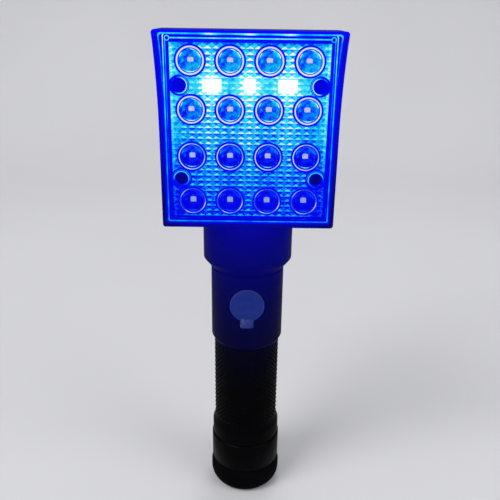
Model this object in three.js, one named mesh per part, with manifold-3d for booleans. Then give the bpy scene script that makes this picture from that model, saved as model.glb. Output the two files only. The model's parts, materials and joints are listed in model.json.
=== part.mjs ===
// Magnetic work light: a torch-shaped body that stands on a magnet, with a square lamp head.
// Millimetres, +Z up, front towards -Y. The origin is the centre of the magnet's flat face.
import * as THREE from 'three';
import { mergeVertices } from 'three/addons/utils/BufferGeometryUtils.js';
import Module from 'manifold-3d';

const wasm = await Module();
wasm.setup();

// Clearances and roundness that many pieces share
const fit = { seat: 0.2, slip: 0.3, overrun: 1, weld: 0.1, merge: 0.0001 };
const round = { outer: 36, inner: 20, lens: 16, small: 8, seal: 5, corner: 4 };

// Tail: rubber bumper, pot magnet and screw cap
const bumper = { radius: 17.1, height: 12.85, edge: 4.6, edgeHeight: 6, edgeSteps: 5, shoulder: 3.5,
  waist: 16, floor: 6.8 };
const pot = { radius: 12, height: 6.3, wall: 1.6, roof: 1.6 };
const magnet = { radius: 10.1, height: 4.5 };
const cap = { radius: 16.65, height: 15.15, edge: 0.7, spigot: 13.4, wall: 2.2, floor: 3.2, thread: 5.6 };
const capRing = { land: 1.8, depth: 1.1 };
const tailSpring = { radius: 7.6, wire: 0.55, curls: 5 };

// Grip: knurled battery tube with a plain collar at its lower end
const collar = { radius: 16.2, height: 6.9, edge: 0.6, cone: 3.2 };
const grip = { radius: 15.25, bore: 12.4, counterbore: 13.7, thread: 9, spigot: 13.5 };
const knurl = { depth: 0.55, around: 24, rise: 3.2, border: 1 };

// Battery cartridge and its contacts
const cell = { count: 3, radius: 5.25, length: 43.6, ring: 6.4, nub: 1.9, nubHeight: 0.9 };
const cartridge = { radius: 12, plate: 2.6, rib: 1.9, contact: 0.4, contactRadius: 5.6 };
const contactDisc = { radius: 13.3, height: 1.4, hole: 2.2 };
const headSpring = { radius: 4.4, wire: 0.45, curls: 3, height: 5.2 };

// Switch body with its button, window and boards
const body = { radius: 16.42, land: 1.8, crest: 4.1, cone: 2.6, bore: 12.9, spigot: 14.6, spigotHeight: 12,
  edge: 0.5 };
const neckRing = { land: 4, depth: 1.1 };
const button = { radius: 7.65, proud: 0.55, crown: 0.35, flange: 0.8, travel: 0.8 };
const boss = { radius: 9.5, proud: 0.45, pocket: 9 };
const guide = { width: 6, drop: 11.2, reach: 6.2, corner: 1.2, proud: 0.25, length: 6.4 };
const tact = { side: 6, height: 2.4, plunger: 1.6, floor: 0.5 };
const board = { thickness: 1.6, switchWidth: 17, switchLength: 23, setBack: 8.4 };
const pilot = { width: 3, height: 2, depth: 1.1 };
const holder = { depth: 9.6, height: 34, slot: 3.5 };
const driver = { width: 16, length: 21, front: 4.4, coil: 3.4, coilHeight: 3.6, chip: 5, chipHeight: 1.3 };

// Neck and lamp head
const neck = { radius: 19.75, height: 19.4, cone: 4.3, bore: 12, spigot: 13.5, fairing: 36, fairingTip: 3 };
const head = { top: 36.5, bottom: 34.9, height: 76.2, depth: 23.9, corner: 1.2, wall: 4.15, back: 2.4,
  crown: 2 };
const mouth = { side: 2.3, top: 1.4, bottom: 2.2, corner: 1, depth: 5 };
const plate = { flange: 1, step: 0.8, thickness: 1.6, setBack: 2.3, inset: 0.75, seal: 1.2 };
const prism = { columns: 19, rows: 32, borderX: 4.6, borderZ: 4.5, height: 0.55 };
const lens = { columns: 4, rows: 4, borderX: 12.4, borderZ: 10.9, ring: 5.4, lip: 0.8, rise: 0.5, dish: 1,
  floor: 1.9, gap: 0.1 };
const ledBoard = { inset: 4.9, thickness: 1.6, setBack: 5.6 };
const whiteLed = { side: 2.6, height: 0.7 };
const blueLed = { count: 3, pitch: 14.5, side: 3.4, height: 0.8 };
const screw = { border: 8, head: 2.4, headHeight: 1.3, shank: 1.35, length: 11, post: 3.5, socket: 1.3 };
const pin = { border: 1.65, radius: 0.8, rise: 0.3 };

// Half the prism field, and the spacing of prisms, lenses and screws on the head
const fieldX = head.bottom - prism.borderX;
const fieldZ = head.height / 2 - prism.borderZ;
const prismX = 2 * fieldX / prism.columns;
const prismZ = 2 * fieldZ / prism.rows;
const lensX = 2 * (head.bottom - lens.borderX) / (lens.columns - 1);
const lensZ = (head.height - 2 * lens.borderZ) / (lens.rows - 1);
const screwX = head.bottom - screw.border;
const mouthX = head.bottom - mouth.side;

// Levels along the handle, from the magnet's face up
const capBase = bumper.height;
const tubeBase = capBase + cap.height;
const gripBase = tubeBase + collar.height + collar.cone;
const cartridgeBase = tubeBase + cap.thread + fit.slip;
const cartridgeHeight = cell.length + cell.nubHeight + 2 * (cartridge.plate + fit.seat);
const cartridgeTop = cartridgeBase + cartridgeHeight;
const headContactBase = cartridgeTop + fit.seat;
const headSpringBase = headContactBase + cartridge.contact + fit.seat;
const tubeTop = headSpringBase + headSpring.height;
const bodyBase = tubeTop - grip.thread;
const discBase = tubeTop + fit.seat;
const shoulder = discBase + contactDisc.height + fit.seat;
const buttonLevel = shoulder + body.land + guide.drop;
const bodyTop = buttonLevel + boss.radius + body.crest;
const neckBase = bodyTop + neck.cone;
const headBase = neckBase + neck.height;
const headMiddle = headBase + head.height / 2;
const headTop = headBase + head.height;
const capFloor = capBase + cap.floor;

// Depths in the head, towards the front
const faceY = -neck.radius;
const plateY = faceY + plate.setBack;
const plateBackY = plateY + plate.thickness;
const ledgeY = faceY + mouth.depth;
const boardY = faceY + ledBoard.setBack;
const boardBackY = boardY + ledBoard.thickness;
const headBackY = faceY + head.depth;
const floorY = headBackY - head.back;

// Depths at the button
const buttonFaceY = -(body.radius + button.proud);
const flangeY = -body.bore;
const pocketY = flangeY - fit.seat;
const switchBoardY = -board.setBack;
const tactFrontY = switchBoardY - fit.seat - tact.height;

// Turns a closed three.js geometry into a solid with its faces pointing out
function solid(geometry) {
  const bare = geometry.index ? geometry.toNonIndexed() : geometry.clone();
  bare.deleteAttribute('normal');
  bare.deleteAttribute('uv');
  const merged = mergeVertices(bare, fit.merge);
  const points = merged.attributes.position.array;
  const corners = [];
  for (let i = 0; i < merged.index.count; i += 3) {
    const [a, b, c] = merged.index.array.slice(i, i + 3);
    if (a !== b && b !== c && c !== a) corners.push([a, b, c]);
  }
  const inward = signedVolume(points, corners) < 0;
  const triVerts = new Uint32Array(corners.flatMap(([a, b, c]) => (inward ? [a, c, b] : [a, b, c])));
  return new wasm.Manifold(new wasm.Mesh({ numProp: 3, vertProperties: points, triVerts }));
}

function signedVolume(points, corners) {
  const at = (i) => new THREE.Vector3().fromArray(points, 3 * i);
  let sum = 0;
  for (const [a, b, c] of corners) sum += at(a).dot(at(b).cross(at(c)));
  return sum;
}

// A solid back as a three.js geometry with flat faces
function geometryOf(shape) {
  const mesh = shape.getMesh();
  const geometry = new THREE.BufferGeometry();
  geometry.setAttribute('position', new THREE.BufferAttribute(new Float32Array(mesh.vertProperties), 3));
  geometry.setIndex(new THREE.BufferAttribute(new Uint32Array(mesh.triVerts), 1));
  const flat = geometry.toNonIndexed();
  flat.computeVertexNormals();
  return flat;
}

function joined(...shapes) {
  return shapes.reduce((whole, next) => whole.add(next));
}

function cut(shape, ...tools) {
  return tools.reduce((rest, tool) => rest.subtract(tool), shape);
}

// A turned piece about +Z. The profile lists [radius, height] and closes on itself or on the axis.
function turned(profile, steps = round.outer) {
  const ends = [profile[0], profile[profile.length - 1]];
  const closed = ends.every(([radius]) => radius === 0) ? profile : [...profile, profile[0]];
  const points = closed.map(([radius, height]) => new THREE.Vector2(radius, height));
  return solid(new THREE.LatheGeometry(points, steps).rotateX(Math.PI / 2));
}

function disc(radius, low, high, steps = round.outer) {
  return turned([[0, low], [radius, low], [radius, high], [0, high]], steps);
}

function ring(inner, outer, low, high, steps = round.outer) {
  return turned([[inner, low], [outer, low], [outer, high], [inner, high]], steps);
}

// A turned piece about -Y through (x, z). Its profile's heights are distances forward of the axis plane.
function turnedForward(profile, x, z, steps = round.inner) {
  const points = profile.map(([radius, forward]) => new THREE.Vector2(radius, forward));
  return solid(new THREE.LatheGeometry(points, steps).rotateX(Math.PI).translate(x, 0, z));
}

function peg(radius, backY, frontY, x, z, steps = round.inner) {
  return turnedForward([[0, -backY], [radius, -backY], [radius, -frontY], [0, -frontY]], x, z, steps);
}

function block(low, high) {
  const size = high.map((value, axis) => value - low[axis]);
  const middle = high.map((value, axis) => (value + low[axis]) / 2);
  return solid(new THREE.BoxGeometry(...size).translate(...middle));
}

// An outline with round corners between two levels. halfAt gives its half width at a level, and the
// sides have enough steps to follow it. Points are [x, z].
function rounded(halfAt, low, high, radius, steps) {
  const points = [];
  for (const [sideX, sideZ, start] of [[1, 1, 0], [-1, 1, 1], [-1, -1, 2], [1, -1, 3]]) {
    const edge = sideZ > 0 ? high : low;
    for (let i = 0; i <= round.corner; i++) {
      const angle = (start + i / round.corner) * Math.PI / 2;
      const x = sideX * (halfAt(edge) - radius) + radius * Math.cos(angle);
      points.push([x, edge - sideZ * radius + radius * Math.sin(angle)]);
    }
    if (sideX * sideZ > 0) continue;
    for (let i = 1; i < steps; i++) {
      const level = edge - (sideZ * (high - low) * i) / steps;
      points.push([sideX * halfAt(level), level]);
    }
  }
  return points;
}

function cornerRadius(radius, inset) {
  return Math.max(radius - inset, radius / round.corner);
}

// The head's outline, drawn in by an inset: straight sides that flare out over the upper half
function headOutline(inset) {
  const halfAt = (level) => {
    const rise = Math.max(0, level - headMiddle) / (head.height / 2);
    return head.bottom + (head.top - head.bottom) * rise * rise - inset;
  };
  const radius = cornerRadius(head.corner, inset);
  return rounded(halfAt, headBase + inset, headTop - inset, radius, round.small);
}

// The straight opening in the head's front, drawn in by an inset
function mouthOutline(inset) {
  const low = headBase + mouth.bottom + inset;
  return rounded(() => mouthX - inset, low, headTop - mouth.top - inset, cornerRadius(mouth.corner, inset), 1);
}

// Joins rings of equally many points into one closed skin, with a fan over each end.
// leans(r, i) is true where a quad is split the other way.
function skinned(rings, leans = () => false) {
  const corners = [];
  const count = rings[0].length;
  const middle = (points) => points.reduce((sum, p) => sum.add(p), new THREE.Vector3()).divideScalar(count);
  for (let r = 0; r + 1 < rings.length; r++) {
    for (let i = 0; i < count; i++) {
      const next = (i + 1) % count;
      const quad = [rings[r][i], rings[r][next], rings[r + 1][next], rings[r + 1][i]];
      const order = leans(r, i) ? [0, 1, 3, 1, 2, 3] : [0, 1, 2, 0, 2, 3];
      corners.push(...order.map((k) => quad[k]));
    }
  }
  const last = rings[rings.length - 1];
  const [startMiddle, endMiddle] = [middle(rings[0]), middle(last)];
  for (let i = 0; i < count; i++) {
    const next = (i + 1) % count;
    corners.push(rings[0][next], rings[0][i], startMiddle);
    corners.push(last[i], last[next], endMiddle);
  }
  return solid(new THREE.BufferGeometry().setFromPoints(corners));
}

// One of the head's outlines lofted through depth. Each station is [y, inset].
function headLoft(stations, outline = headOutline) {
  const ringAt = ([y, inset]) => outline(inset).map(([x, z]) => new THREE.Vector3(x, y, z));
  return skinned(stations.map(ringAt));
}

function headSlab(inset, frontY, backY, outline = headOutline) {
  return headLoft([[frontY, inset], [backY, inset]], outline);
}

// Places of the lenses, of the blue lamps and of the screws on the head
function lensPlaces() {
  const places = [];
  for (let row = 0; row < lens.rows; row++) {
    for (let column = 0; column < lens.columns; column++) {
      const x = (column - (lens.columns - 1) / 2) * lensX;
      places.push([x, headMiddle + (row - (lens.rows - 1) / 2) * lensZ]);
    }
  }
  return places;
}

function bluePlaces() {
  const middle = (blueLed.count - 1) / 2;
  const level = headMiddle + lensZ;
  return Array.from({ length: blueLed.count }, (_, i) => [(i - middle) * blueLed.pitch, level]);
}

function screwPlaces() {
  return [-1, 1].flatMap((side) => [-1, 1].map((up) => [side * screwX, headMiddle + up * lensZ]));
}

// Rear shell of the head: the rim, the cavity, the screw posts, and the fairing behind
function headHousing() {
  const shell = headLoft([
    [faceY, 0],
    [headBackY - head.crown, 0],
    [headBackY - head.crown / 3, head.crown / 3],
    [headBackY, head.crown],
  ]);
  const fairing = [];
  for (let i = 0; i <= round.small; i++) {
    const angle = (i / round.small) * Math.PI / 2;
    const radius = neck.fairingTip + (neck.radius - neck.fairingTip) * Math.cos(angle);
    fairing.push([radius, headBase + neck.fairing * Math.sin(angle)]);
  }
  const rear = turned([[0, headBase], ...fairing, [0, headBase + neck.fairing]]);
  const hollow = [
    disc(neck.spigot + fit.slip, headBase - fit.overrun, headBase + ledBoard.inset + fit.overrun),
    headSlab(0, faceY - fit.overrun, ledgeY, mouthOutline),
    headSlab(head.wall, ledgeY - fit.overrun, floorY),
  ];
  const postY = boardBackY + fit.seat;
  const bore = screw.shank + fit.slip;
  const posts = screwPlaces().map(([x, z]) => peg(screw.post, floorY + fit.weld, postY, x, z));
  const bores = screwPlaces().map(([x, z]) => peg(bore, floorY, faceY, x, z, round.small));
  return cut(joined(cut(joined(shell, rear), ...hollow), ...posts), ...bores);
}

// Round neck with its cone: a socket for the switch body below and a spigot into the head above
function neckSleeve() {
  const socket = body.spigot + fit.slip;
  const socketTop = bodyTop + body.spigotHeight + fit.seat;
  const top = headBase - fit.seat;
  const spigotTop = headBase + head.wall - fit.seat;
  return turned([[socket, bodyTop], [body.radius, bodyTop], [neck.radius, neckBase], [neck.radius, top],
    [neck.spigot, top], [neck.spigot, spigotTop], [neck.bore, spigotTop], [neck.bore, socketTop],
    [socket, socketTop]]);
}

// True where a point of the cover lies outside every lens and screw
function clearOfRounds(x, z) {
  const apart = (reach) => ([u, v]) => Math.hypot(x - u, z - v) > reach;
  return lensPlaces().every(apart(lens.ring + lens.gap)) && screwPlaces().every(apart(screw.post));
}

// The field of small prisms on the cover, as one closed sheet with a pyramid for each prism
function prismField() {
  const low = headMiddle - fieldZ;
  const at = (x, z, y) => new THREE.Vector3(x * prismX - fieldX, y, low + z * prismZ);
  const corners = [];
  const backY = plateY + plate.step / 2;
  for (let i = 0; i < prism.columns; i++) {
    for (let j = 0; j < prism.rows; j++) {
      const foot = [at(i, j, plateY), at(i + 1, j, plateY), at(i + 1, j + 1, plateY), at(i, j + 1, plateY)];
      const clear = foot.every(({ x, z }) => clearOfRounds(x, z));
      const tip = at(i + 1 / 2, j + 1 / 2, clear ? plateY - prism.height : plateY);
      foot.forEach((corner, k) => corners.push(corner, foot[(k + 1) % foot.length], tip));
    }
  }
  const rim = [];
  for (let i = 0; i < prism.columns; i++) rim.push([i, 0]);
  for (let j = 0; j < prism.rows; j++) rim.push([prism.columns, j]);
  for (let i = prism.columns; i > 0; i--) rim.push([i, prism.rows]);
  for (let j = prism.rows; j > 0; j--) rim.push([0, j]);
  const middle = at(prism.columns / 2, prism.rows / 2, backY);
  rim.forEach(([i, j], k) => {
    const [m, n] = rim[(k + 1) % rim.length];
    corners.push(at(i, j, backY), at(m, n, backY), at(m, n, plateY));
    corners.push(at(i, j, backY), at(m, n, plateY), at(i, j, plateY));
    corners.push(at(m, n, backY), at(i, j, backY), middle);
  });
  return solid(new THREE.BufferGeometry().setFromPoints(corners));
}

// One round lens of the cover: a raised lip round a dish
function lensBody(x, z) {
  const front = -plateY;
  const back = -plateBackY;
  const lip = [[lens.ring, front + lens.rise], [lens.ring - lens.lip, front + lens.rise]];
  const bowl = [[lens.floor, front - lens.dish], [0, front - lens.dish]];
  return turnedForward([[0, back], [lens.ring, back], ...lip, ...bowl], x, z, round.lens);
}

// The shallow recess that the prisms fill
function prismRecess() {
  const x = fieldX - fit.weld;
  const z = fieldZ - fit.weld;
  return block([-x, plateY - fit.overrun, headMiddle - z],
    [x, plateY + plate.step / 2 - fit.weld, headMiddle + z]);
}

function lensPlate() {
  const stepY = plateY + plate.step;
  const slab = cut(joined(
    headSlab(fit.slip, stepY, stepY + plate.flange, mouthOutline),
    headSlab(plate.inset, plateY, plateBackY, mouthOutline),
  ), prismRecess());
  const holes = lensPlaces().map(([x, z]) => peg(lens.ring - lens.lip / 2, plateBackY + fit.overrun,
    plateY - fit.overrun, x, z, round.lens));
  const lenses = lensPlaces().map(([x, z]) => lensBody(x, z));
  const pinZ = headTop - mouth.top - pin.border;
  const pins = [-1, 1].map((side) => peg(pin.radius, plateY + fit.weld, plateY - pin.rise,
    side * (mouthX - pin.border), pinZ, round.small));
  const seatY = plateY + screw.headHeight + fit.seat;
  const sleeves = screwPlaces().map(([x, z]) => peg(screw.post, boardY - fit.seat, plateY, x, z));
  const sink = screw.head + fit.slip;
  const bores = screwPlaces().map(([x, z]) => peg(sink, seatY, plateY - fit.overrun, x, z));
  const shank = screw.shank + fit.slip;
  const shanks = screwPlaces().map(([x, z]) => peg(shank, boardY, plateY, x, z, round.small));
  const sheet = cut(joined(slab, prismField()), ...holes);
  return cut(joined(sheet, ...lenses, ...pins, ...sleeves), ...bores, ...shanks);
}

// A soft frame between the cover's flange and the ledge in the housing
function lensGasket() {
  const frontY = plateY + plate.step + plate.flange + fit.seat;
  const frame = headSlab(fit.slip, frontY, ledgeY - fit.seat, mouthOutline);
  return cut(frame, headSlab(fit.slip + plate.seal, faceY, ledgeY, mouthOutline));
}

function lensScrew([x, z]) {
  const seatY = plateY + screw.headHeight;
  const shank = peg(screw.shank, seatY + screw.length, plateY, x, z, round.small);
  const recess = peg(screw.socket, plateY + screw.headHeight / 2, plateY - fit.overrun, x, z, round.corner);
  return cut(joined(peg(screw.head, seatY, plateY, x, z, round.lens), shank), recess);
}

function ledBoardBody() {
  const slab = headSlab(ledBoard.inset, boardY, boardBackY);
  return cut(slab, ...screwPlaces().map(([x, z]) => peg(screw.shank + fit.slip, boardBackY + fit.overrun,
    boardY - fit.overrun, x, z, round.small)));
}

// A square lamp chip on the front of the board
function chip({ side, height }, [x, z]) {
  const backY = boardY - fit.seat;
  return block([x - side / 2, backY - height, z - side / 2], [x + side / 2, backY, z + side / 2]);
}

// The wire radius of a seal that fills its groove and the slip gap around it
function sealSection(depth) {
  return (depth + fit.slip) / 2 - fit.seat;
}

// A round seal in a spigot's groove
function seal(spigot, { depth }, level) {
  const section = sealSection(depth);
  const middle = spigot - depth + fit.seat + section;
  const points = Array.from({ length: round.seal }, (_, i) => {
    const angle = (i / round.seal) * 2 * Math.PI;
    return [middle + section * Math.cos(angle), level + section * Math.sin(angle)];
  });
  return turned(points);
}

// The groove that takes it
function grooveCut(spigot, { depth }, level) {
  const half = sealSection(depth) + fit.seat;
  return ring(spigot - depth, spigot + fit.overrun, level - half, level + half);
}

function switchBody() {
  const low = bodyBase;
  const socket = grip.spigot + fit.slip;
  const shell = turned([[socket, low], [grip.radius, low], [body.radius, low + body.cone],
    [body.radius, bodyTop - fit.slip - body.edge], [body.radius - body.edge, bodyTop - fit.slip],
    [body.spigot, bodyTop - fit.slip], [body.spigot, bodyTop + body.spigotHeight - fit.seat],
    [body.bore, bodyTop + body.spigotHeight - fit.seat], [body.bore, shoulder], [socket, shoulder]]);
  const rimY = -(body.radius + boss.proud);
  const base = joined(shell, cut(peg(boss.radius, -body.bore, rimY, 0, buttonLevel, round.outer),
    disc(body.bore, low, bodyTop)));
  const open = [
    peg(button.radius + fit.slip, -body.bore / 2, rimY - fit.overrun, 0, buttonLevel, round.outer),
    peg(boss.pocket, -body.bore / 2, pocketY, 0, buttonLevel, round.outer),
    guideShape(fit.slip, -body.bore / 2, rimY - fit.overrun),
  ];
  const groove = grooveCut(body.spigot, neckRing, bodyTop + neckRing.land);
  return cut(base, ...open, groove);
}

// The small upright window under the button, grown all round by a clearance
function guideShape(grow, backY, frontY) {
  const half = guide.width / 2 + grow;
  const low = buttonLevel - guide.drop - grow;
  const radius = guide.corner;
  const outline = new THREE.Shape();
  outline.moveTo(-half, buttonLevel - guide.reach + grow);
  outline.lineTo(-half, low + radius);
  outline.quadraticCurveTo(-half, low, -half + radius, low);
  outline.lineTo(half - radius, low);
  outline.quadraticCurveTo(half, low, half, low + radius);
  outline.lineTo(half, buttonLevel - guide.reach + grow);
  const options = { depth: backY - frontY, bevelEnabled: false, curveSegments: round.corner };
  return solid(new THREE.ExtrudeGeometry(outline, options).rotateX(Math.PI / 2).translate(0, backY, 0));
}

function buttonCap() {
  const face = -buttonFaceY;
  const back = -flangeY - button.flange;
  const rim = boss.pocket - fit.slip;
  return turnedForward([[0, back], [rim, back], [rim, -flangeY], [button.radius, -flangeY],
    [button.radius, face - button.crown], [button.radius - button.crown, face], [0, face]], 0, buttonLevel,
    round.outer);
}

function indicatorWindow() {
  const frontY = -(body.radius + guide.proud);
  const bar = guideShape(0, frontY + guide.length, frontY);
  return cut(bar, peg(button.radius + fit.slip, 0, faceY, 0, buttonLevel, round.outer),
    peg(boss.pocket + fit.slip, 0, pocketY - fit.slip, 0, buttonLevel, round.outer));
}

function tactSwitch() {
  const half = tact.side / 2;
  const backY = switchBoardY - fit.seat;
  const can = block([-half, tactFrontY, buttonLevel - half], [half, backY, buttonLevel + half]);
  const well = tact.plunger + fit.slip;
  return cut(can, peg(well, backY - tact.floor, tactFrontY - fit.overrun, 0, buttonLevel));
}

function tactPlunger() {
  const backY = switchBoardY - fit.seat - tact.floor - button.travel - fit.slip;
  return peg(tact.plunger, backY, flangeY + button.flange + fit.seat, 0, buttonLevel);
}

function switchBoard() {
  const low = shoulder + fit.slip;
  const half = board.switchWidth / 2;
  const [backY, high] = [switchBoardY + board.thickness, low + board.switchLength];
  return block([-half, switchBoardY, low], [half, backY, high]);
}

function pilotLamp() {
  const middle = buttonLevel - guide.drop + guide.width / 4;
  const backY = switchBoardY - fit.seat;
  const [x, z] = [pilot.width / 2, pilot.height / 2];
  return block([-x, backY - pilot.depth, middle - z], [x, backY, middle + z]);
}

// Moulded block behind the switch board, with a slot for the driver board in its top
function boardHolder() {
  const frontY = switchBoardY + board.thickness + fit.seat;
  const low = shoulder + fit.slip;
  const high = low + holder.height;
  const radius = body.bore - fit.slip;
  const core = disc(radius, low, high);
  const slice = core.intersect(block([-radius, frontY, low], [radius, frontY + holder.depth, high]));
  const half = driver.width / 2 + fit.slip;
  const slot = block([-half, -driver.front - fit.seat, high - holder.slot],
    [half, -driver.front + board.thickness + fit.seat, high + fit.overrun]);
  return cut(slice, slot);
}

const driverBase = shoulder + fit.slip + holder.height - holder.slot + fit.seat;

function driverBoard() {
  const half = driver.width / 2;
  return block([-half, -driver.front, driverBase],
    [half, -driver.front + board.thickness, driverBase + driver.length]);
}

function driverCoil() {
  const backY = -driver.front - fit.seat;
  const level = driverBase + driver.length / 2;
  return peg(driver.coil, backY, backY - driver.coilHeight, 0, level);
}

function driverChip() {
  const backY = -driver.front - fit.seat;
  const high = driverBase + driver.length - driver.chip / 4;
  const half = driver.chip / 2;
  return block([-half, backY - driver.chipHeight, high - driver.chip], [half, backY, high]);
}

// Diamond knurl: points of a diamond's tip stand proud, and the quads fold along the grooves
function gripTube() {
  const columns = 2 * knurl.around;
  const valley = grip.radius - knurl.depth;
  const span = bodyBase - gripBase - 2 * knurl.border;
  const rows = 2 * Math.round(span / knurl.rise);
  const levels = [
    [tubeBase, collar.radius - collar.edge], [tubeBase + collar.edge, collar.radius],
    [tubeBase + collar.height, collar.radius], [gripBase, valley],
  ];
  const plain = levels.length;
  for (let j = 0; j <= rows; j++) levels.push([gripBase + knurl.border + (span * j) / rows, valley]);
  levels.push([bodyBase - fit.slip, valley], [bodyBase - fit.slip, grip.spigot], [tubeTop, grip.spigot]);
  const row = (r) => (r > plain && r < plain + rows ? r - plain : 0);
  const rings = levels.map(([level, radius], r) => Array.from({ length: columns }, (_, i) => {
    const tip = row(r) > 0 && (i + row(r)) % 2 === 0;
    const angle = (i / columns) * 2 * Math.PI;
    const reach = tip ? grip.radius : radius;
    return new THREE.Vector3(reach * Math.cos(angle), reach * Math.sin(angle), level);
  }));
  const leans = (r, i) => r >= plain && r < plain + rows && (i + r - plain) % 2 === 0;
  return cut(skinned(rings, leans),
    disc(grip.bore, tubeBase - fit.overrun, tubeTop + fit.overrun),
    disc(grip.counterbore, tubeBase - fit.overrun, tubeBase + cap.thread + fit.seat));
}

function cellAngles() {
  return Array.from({ length: cell.count }, (_, i) => (1 / 2 + 2 * i / cell.count) * Math.PI);
}

function cartridgeFrame() {
  const inner = cartridgeBase + cartridge.plate;
  const outer = cartridgeTop - cartridge.plate;
  const rods = cellAngles().map((cellAngle) => {
    const angle = cellAngle + Math.PI / cell.count;
    const reach = cartridge.radius - cartridge.rib;
    return disc(cartridge.rib, inner - fit.weld, outer + fit.weld, round.small)
      .translate(reach * Math.cos(angle), reach * Math.sin(angle), 0);
  });
  return joined(disc(cartridge.radius, cartridgeBase, inner, round.inner),
    disc(cartridge.radius, outer, cartridgeTop, round.inner), ...rods);
}

function batteryCell(angle) {
  const low = cartridgeBase + cartridge.plate + fit.seat;
  const high = low + cell.length;
  return turned([[0, low], [cell.radius, low], [cell.radius, high], [cell.nub, high],
    [cell.nub, high + cell.nubHeight], [0, high + cell.nubHeight]], round.inner)
    .translate(cell.ring * Math.cos(angle), cell.ring * Math.sin(angle), 0);
}

// A wire wound into one unbroken helix
function spring(size, low, high) {
  const steps = round.small * size.curls;
  const rise = (high - low - 2 * size.wire) / steps;
  const up = new THREE.Vector3(0, 0, 1);
  const rings = Array.from({ length: steps + 1 }, (_, k) => {
    const angle = (k / round.small) * 2 * Math.PI;
    const outward = new THREE.Vector3(Math.cos(angle), Math.sin(angle), 0);
    const centre = outward.clone().multiplyScalar(size.radius);
    centre.z = low + size.wire + k * rise;
    return Array.from({ length: round.seal }, (_, side) => {
      const turn = (side / round.seal) * 2 * Math.PI;
      return centre.clone().addScaledVector(outward, size.wire * Math.cos(turn))
        .addScaledVector(up, size.wire * Math.sin(turn));
    });
  });
  return skinned(rings);
}

const capTop = tubeBase + cap.thread;

function tailCap() {
  const spigot = bumper.waist - cap.wall;
  const shell = turned([[0, bumper.floor], [spigot - fit.slip, bumper.floor], [spigot - fit.slip, capBase],
    [cap.radius - cap.edge, capBase], [cap.radius, capBase + cap.edge],
    [cap.radius, tubeBase - fit.seat - cap.edge], [cap.radius - cap.edge, tubeBase - fit.seat],
    [cap.spigot, tubeBase - fit.seat], [cap.spigot, capTop], [cap.spigot - cap.wall, capTop],
    [cap.spigot - cap.wall, capFloor], [0, capFloor]]);
  return cut(shell, grooveCut(cap.spigot, capRing, tubeBase + capRing.land));
}

function tailBumper() {
  const corner = [];
  for (let i = 0; i <= bumper.edgeSteps; i++) {
    const angle = (i / bumper.edgeSteps) * Math.PI / 2;
    const level = bumper.edgeHeight * (1 - Math.cos(angle));
    corner.push([bumper.radius - bumper.edge * (1 - Math.sin(angle)), level]);
  }
  const spigot = bumper.waist - cap.wall;
  return turned([[pot.radius + fit.slip, 0], ...corner, [bumper.radius, bumper.height - bumper.shoulder],
    [bumper.waist, bumper.height - fit.seat], [spigot, bumper.height - fit.seat],
    [spigot, bumper.floor - fit.seat], [pot.radius + fit.slip, bumper.floor - fit.seat]]);
}

function magnetPot() {
  return turned([[pot.radius - pot.wall, 0], [pot.radius, 0], [pot.radius, pot.height], [0, pot.height],
    [0, pot.height - pot.roof], [pot.radius - pot.wall, pot.height - pot.roof]], round.inner);
}

// Finishes by name: colour, roughness and metalness
const finishes = {
  blackPlastic: [0x101014, 0.5, 0],
  blackRubber: [0x0c0c0e, 0.8, 0],
  blackAluminium: [0x16161a, 0.45, 0.6],
  clearPlastic: [0x7fb8ff, 0.1, 0],
  paleSilicone: [0x9aa4c8, 0.6, 0],
  windowPlastic: [0xc8d0f0, 0.4, 0],
  boardGreen: [0x1c5a34, 0.6, 0],
  boardWhite: [0xe8e8ea, 0.6, 0],
  whiteLamp: [0xd8d2ee, 0.4, 0],
  blueLamp: [0x3050ff, 0.3, 0],
  steel: [0xa8a8ac, 0.35, 0.9],
  brass: [0xc0a050, 0.35, 0.9],
  magnetNickel: [0xb8b8bc, 0.25, 1],
  cellSleeve: [0x2a6a3c, 0.4, 0],
  greyPlastic: [0x55585c, 0.6, 0],
};

const group = new THREE.Group();

function add(name, shape, finish) {
  const [color, roughness, metalness] = finishes[finish];
  const material = new THREE.MeshStandardMaterial({ color, roughness, metalness });
  const mesh = new THREE.Mesh(geometryOf(shape), material);
  mesh.name = name;
  group.add(mesh);
}

// One numbered piece for each place
function addEach(name, places, make, finish) {
  places.forEach((place, i) => add(`${name}_${i + 1}`, make(place), finish));
}

add('head_housing', headHousing(), 'blackPlastic');
add('lens_plate', lensPlate(), 'clearPlastic');
add('lens_gasket', lensGasket(), 'blackRubber');
addEach('lens_screw', screwPlaces(), lensScrew, 'steel');
add('led_board', ledBoardBody(), 'boardWhite');
addEach('white_led', lensPlaces(), (place) => chip(whiteLed, place), 'whiteLamp');
addEach('blue_led', bluePlaces(), (place) => chip(blueLed, place), 'blueLamp');
add('driver_board', driverBoard(), 'boardGreen');
add('driver_coil', driverCoil(), 'greyPlastic');
add('driver_chip', driverChip(), 'blackPlastic');
add('neck_sleeve', neckSleeve(), 'blackPlastic');
add('neck_seal', seal(body.spigot, neckRing, bodyTop + neckRing.land), 'blackRubber');
add('switch_body', switchBody(), 'blackPlastic');
add('button_cap', buttonCap(), 'paleSilicone');
add('indicator_window', indicatorWindow(), 'windowPlastic');
add('switch_board', switchBoard(), 'boardGreen');
add('tact_switch', tactSwitch(), 'steel');
add('tact_plunger', tactPlunger(), 'blackPlastic');
add('pilot_lamp', pilotLamp(), 'whiteLamp');
add('board_holder', boardHolder(), 'greyPlastic');
const discTop = discBase + contactDisc.height;
add('contact_disc', ring(contactDisc.hole, contactDisc.radius, discBase, discTop, round.inner),
  'boardGreen');
add('grip_tube', gripTube(), 'blackAluminium');
add('battery_cartridge', cartridgeFrame(), 'greyPlastic');
addEach('battery_cell', cellAngles(), batteryCell, 'cellSleeve');

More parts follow.
